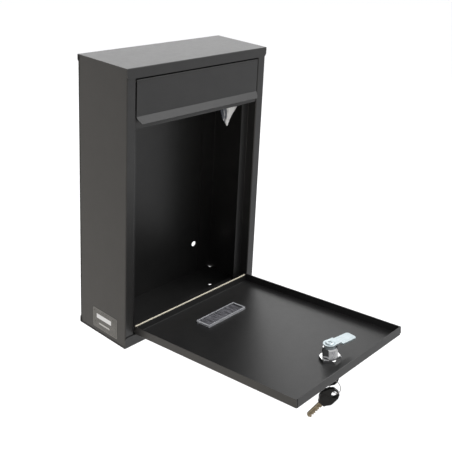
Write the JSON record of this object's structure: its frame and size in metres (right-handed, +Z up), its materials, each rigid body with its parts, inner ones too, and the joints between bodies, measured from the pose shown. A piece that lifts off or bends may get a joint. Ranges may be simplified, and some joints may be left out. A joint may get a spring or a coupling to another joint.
{
  "type": "parcel drop box",
  "caption": "Wall-mounted sheet-steel drop box with a swinging mail flap at the top and a bottom-hinged service door with a cam lock, key ring and spare key",
  "frame": {"origin": "centre of the four wall holes, on the outer face of the back panel", "axes": "+X to the right seen from the front, +Y towards the wall (the front faces -Y), +Z up"},
  "size_m": [0.254, 0.3907, 0.4311],
  "materials": {
    "coat": "fine-textured matt black powder coat",
    "zinc": "zinc plated",
    "nickel": "nickel plated",
    "nickel_lock": "satin nickel plated",
    "label": "blank film label",
    "clear_plastic": "clear moulded plastic",
    "key_metal": "nickel-silver, milled",
    "black_plastic": "black moulded plastic"
  },
  "bodies": {
    "box": {"side_left": "coat", "side_right": "coat", "back_panel": "coat", "top_cap": "coat", "bottom_cap": "coat", "crossbar": "coat", "flap_rod": "zinc", "rod_clips": "zinc", "hinge_leaf_frame": "coat", "hinge_pin": "nickel", "side_label": "label"},
    "flap": {"mail_flap": "coat"},
    "door": {"door_pan": "coat", "hinge_leaf_door": "nickel", "card_holder": "clear_plastic", "lock_body": "nickel_lock", "lock_nut": "nickel_lock"},
    "cylinder": {"lock_plug": "nickel_lock", "stop_washer": "nickel_lock", "lock_cam": "zinc", "cam_screw": "zinc", "key_blade": "key_metal", "key_head": "black_plastic"},
    "ring": {"key_ring": "zinc"},
    "spare_key": {"spare_key_blade": "key_metal", "spare_key_head": "black_plastic"}
  },
  "joints": [
    {"name": "door_hinge", "type": "hinge", "parent": "box", "child": "door", "pos_m": [0, -0.09795, -0.17865], "axis": [-1, 0, 0], "range_deg": [0, 83.8]},
    {"name": "flap_hinge", "type": "hinge", "parent": "box", "child": "flap", "pos_m": [0, -0.0956, 0.17795], "axis": [-1, 0, 0], "range_deg": [0, 75]},
    {"name": "lock_turn", "type": "hinge", "parent": "door", "child": "cylinder", "pos_m": [0, -0.35295, -0.15281], "axis": [0, -0.108, -0.9942], "range_deg": [0, 80]},
    {"name": "ring_swing", "type": "hinge", "parent": "cylinder", "child": "ring", "pos_m": [0.0026, -0.35768, -0.18247], "axis": [0.5, 0.861, -0.0935], "range_deg": [-20, 5]},
    {"name": "spare_key_swing", "type": "hinge", "parent": "ring", "child": "spare_key", "pos_m": [0.00299, -0.36217, -0.20067], "axis": [0.6428, 0.766, 0], "range_deg": [-40, 5]}
  ]
}
